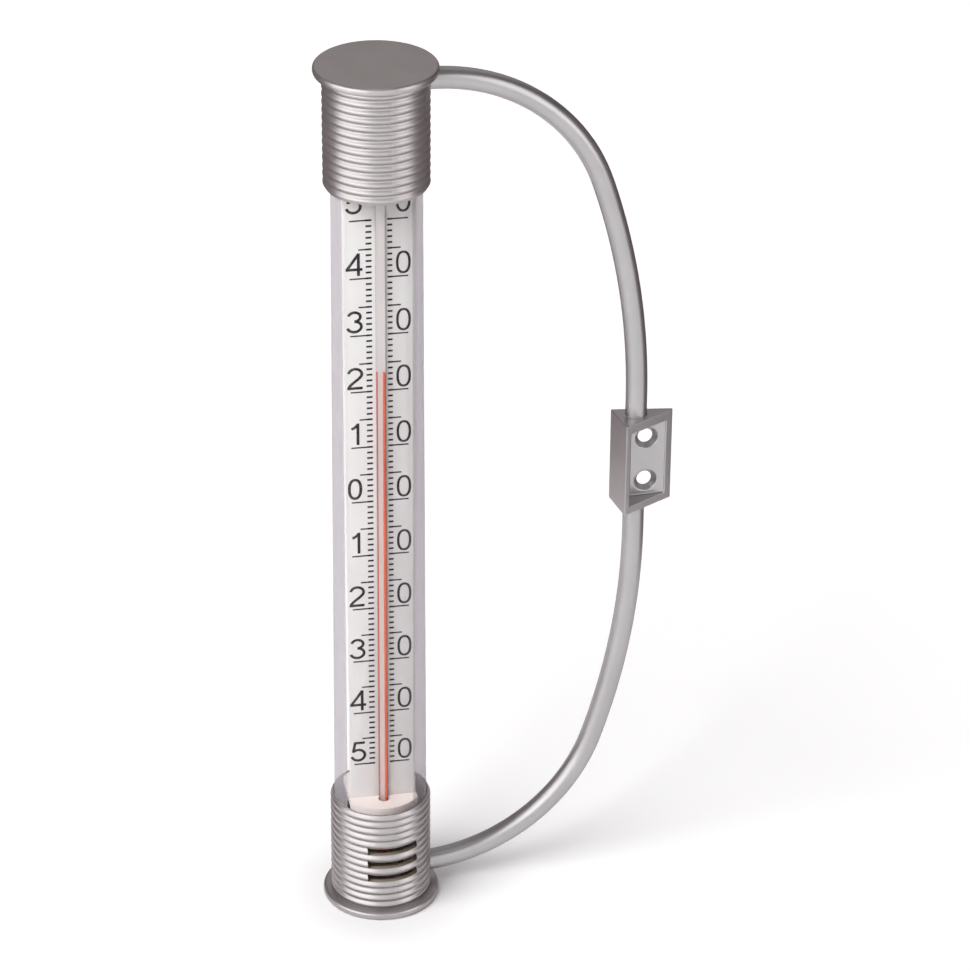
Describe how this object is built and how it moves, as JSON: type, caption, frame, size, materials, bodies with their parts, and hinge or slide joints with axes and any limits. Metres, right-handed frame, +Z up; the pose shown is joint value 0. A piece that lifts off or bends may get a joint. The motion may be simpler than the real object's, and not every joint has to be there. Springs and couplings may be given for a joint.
{
  "type": "outdoor thermometer",
  "caption": "Outdoor thermometer: a clear tube with a scale plate and a glass spirit thermometer between ribbed end caps, held by a bow with a screw bracket.",
  "frame": {"origin": "on the tube's axis, at the underside of the foot flange", "axes": "+Z up along the tube, -Y towards the front that the air slots and the screw heads face, +X towards the bracket on the bow"},
  "size_m": [0.0917, 0.0302, 0.235],
  "materials": {
    "silver_paint": "satin silver paint on moulded plastic",
    "clear_plastic": "clear moulded plastic",
    "white_plastic": "smooth white plastic",
    "glass": "clear glass",
    "red_spirit": "red dyed spirit"
  },
  "bodies": {
    "frame": {"bottom_cap": "silver_paint", "top_cap": "silver_paint", "bow_bracket": "silver_paint"},
    "tube": {"clear_tube": "clear_plastic", "scale_plate": "white_plastic", "glass_stem": "glass", "bulb_liquid": "red_spirit", "lower_holder": "white_plastic", "upper_holder": "white_plastic"},
    "column": {"liquid_column": "red_spirit"}
  },
  "joints": [
    {"name": "tube_turn", "type": "hinge", "parent": "frame", "child": "tube", "pos_m": [0, 0, 0.1175], "axis": [0, 0, 1], "continuous": true},
    {"name": "column_level", "type": "slide", "parent": "tube", "child": "column", "axis": [0, 0, 1], "range_m": [-0.11418, 0.04011], "deforming": ["liquid_column"]}
  ]
}
